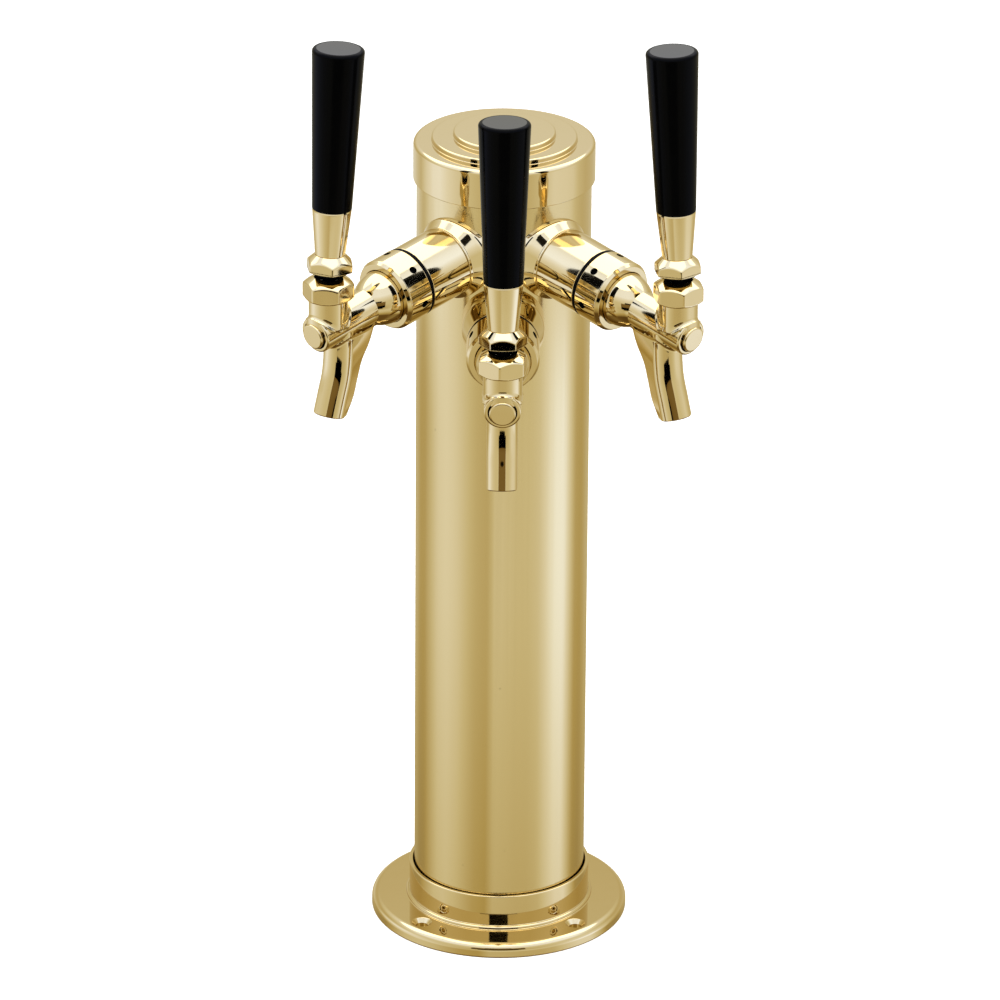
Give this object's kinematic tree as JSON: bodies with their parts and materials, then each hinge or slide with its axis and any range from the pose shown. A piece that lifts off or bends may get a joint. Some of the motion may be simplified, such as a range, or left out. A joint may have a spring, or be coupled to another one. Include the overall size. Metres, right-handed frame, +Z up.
{
  "type": "draft beer tower",
  "caption": "Round polished-brass draft column on a bolted flange, with angled faucets, black tap handles and swinging levers that draw each valve plunger.",
  "frame": {"origin": "centre of the base flange's underside, where the tower meets the bar top", "axes": "+Z up along the column, -Y the front where the middle faucet points, +X to the right of someone facing the front"},
  "size_m": [0.1711, 0.1679, 0.4397],
  "materials": {
    "polished_brass": "polished",
    "black_plastic": "gloss",
    "seal_rubber": "matte",
    "white_nylon": "satin",
    "steel": "satin",
    "chrome_plate": "polished"
  },
  "bodies": {
    "tower": {"column_tube": "polished_brass", "cap": "polished_brass", "base_flange": "polished_brass", "hub_set_screws": "steel", "coupling_washers": "seal_rubber", "shank_gaskets": "seal_rubber", "ball_washers": "white_nylon", "friction_washers": "white_nylon", "backing_washers": "white_nylon", "shank_hex_nuts": "chrome_plate", "left_coupling_nut": "polished_brass", "left_faucet_body": "polished_brass", "left_end_plug": "polished_brass", "left_bonnet": "polished_brass", "left_shank": "polished_brass", "left_saddle": "polished_brass", "left_tailpiece": "steel", "left_sleeve": "polished_brass", "front_coupling_nut": "polished_brass", "front_faucet_body": "polished_brass", "front_end_plug": "polished_brass", "front_bonnet": "polished_brass", "front_shank": "polished_brass", "front_saddle": "polished_brass", "front_tailpiece": "steel", "right_coupling_nut": "polished_brass", "right_faucet_body": "polished_brass", "right_end_plug": "polished_brass", "right_bonnet": "polished_brass", "right_shank": "polished_brass", "right_saddle": "polished_brass", "right_tailpiece": "steel", "right_sleeve": "polished_brass"},
    "left_lever": {"left_lever": "polished_brass", "left_collar_washer": "black_plastic", "left_lever_collar": "polished_brass", "left_ferrule": "polished_brass", "left_knob": "black_plastic"},
    "left_plunger": {"left_plunger": "steel", "left_seat_washer": "seal_rubber", "left_plunger_nut": "steel"},
    "front_lever": {"front_lever": "polished_brass", "front_collar_washer": "black_plastic", "front_lever_collar": "polished_brass", "front_ferrule": "polished_brass", "front_knob": "black_plastic"},
    "front_plunger": {"front_plunger": "steel", "front_seat_washer": "seal_rubber", "front_plunger_nut": "steel"},
    "right_lever": {"right_lever": "polished_brass", "right_collar_washer": "black_plastic", "right_lever_collar": "polished_brass", "right_ferrule": "polished_brass", "right_knob": "black_plastic"},
    "right_plunger": {"right_plunger": "steel", "right_seat_washer": "seal_rubber", "right_plunger_nut": "steel"}
  },
  "joints": [
    {"name": "left_handle_tilt", "type": "hinge", "parent": "tower", "child": "left_lever", "pos_m": [-0.07452, -0.08252, 0.32961], "axis": [0.7071, -0.7071, 0], "range_deg": [0, 23]},
    {"name": "left_valve_slide", "type": "slide", "parent": "tower", "child": "left_plunger", "axis": [-0.6984, -0.6984, -0.1564], "range_m": [-0.0065, 0]},
    {"name": "front_handle_tilt", "type": "hinge", "parent": "tower", "child": "front_lever", "pos_m": [0, -0.09959, 0.30271], "axis": [1, 0, 0], "range_deg": [0, 23]},
    {"name": "front_valve_slide", "type": "slide", "parent": "tower", "child": "front_plunger", "axis": [0, -0.9877, -0.1564], "range_m": [-0.0065, 0]},
    {"name": "right_handle_tilt", "type": "hinge", "parent": "tower", "child": "right_lever", "pos_m": [0.07452, -0.08252, 0.32961], "axis": [0.7071, 0.7071, 0], "range_deg": [0, 23]},
    {"name": "right_valve_slide", "type": "slide", "parent": "tower", "child": "right_plunger", "axis": [0.6984, -0.6984, -0.1564], "range_m": [-0.0065, 0]}
  ],
  "couplings": [
    {"joint": "left_valve_slide", "follows": "left_handle_tilt", "m_per_rad": -0.01606},
    {"joint": "front_valve_slide", "follows": "front_handle_tilt", "m_per_rad": -0.01606},
    {"joint": "right_valve_slide", "follows": "right_handle_tilt", "m_per_rad": -0.01606}
  ]
}
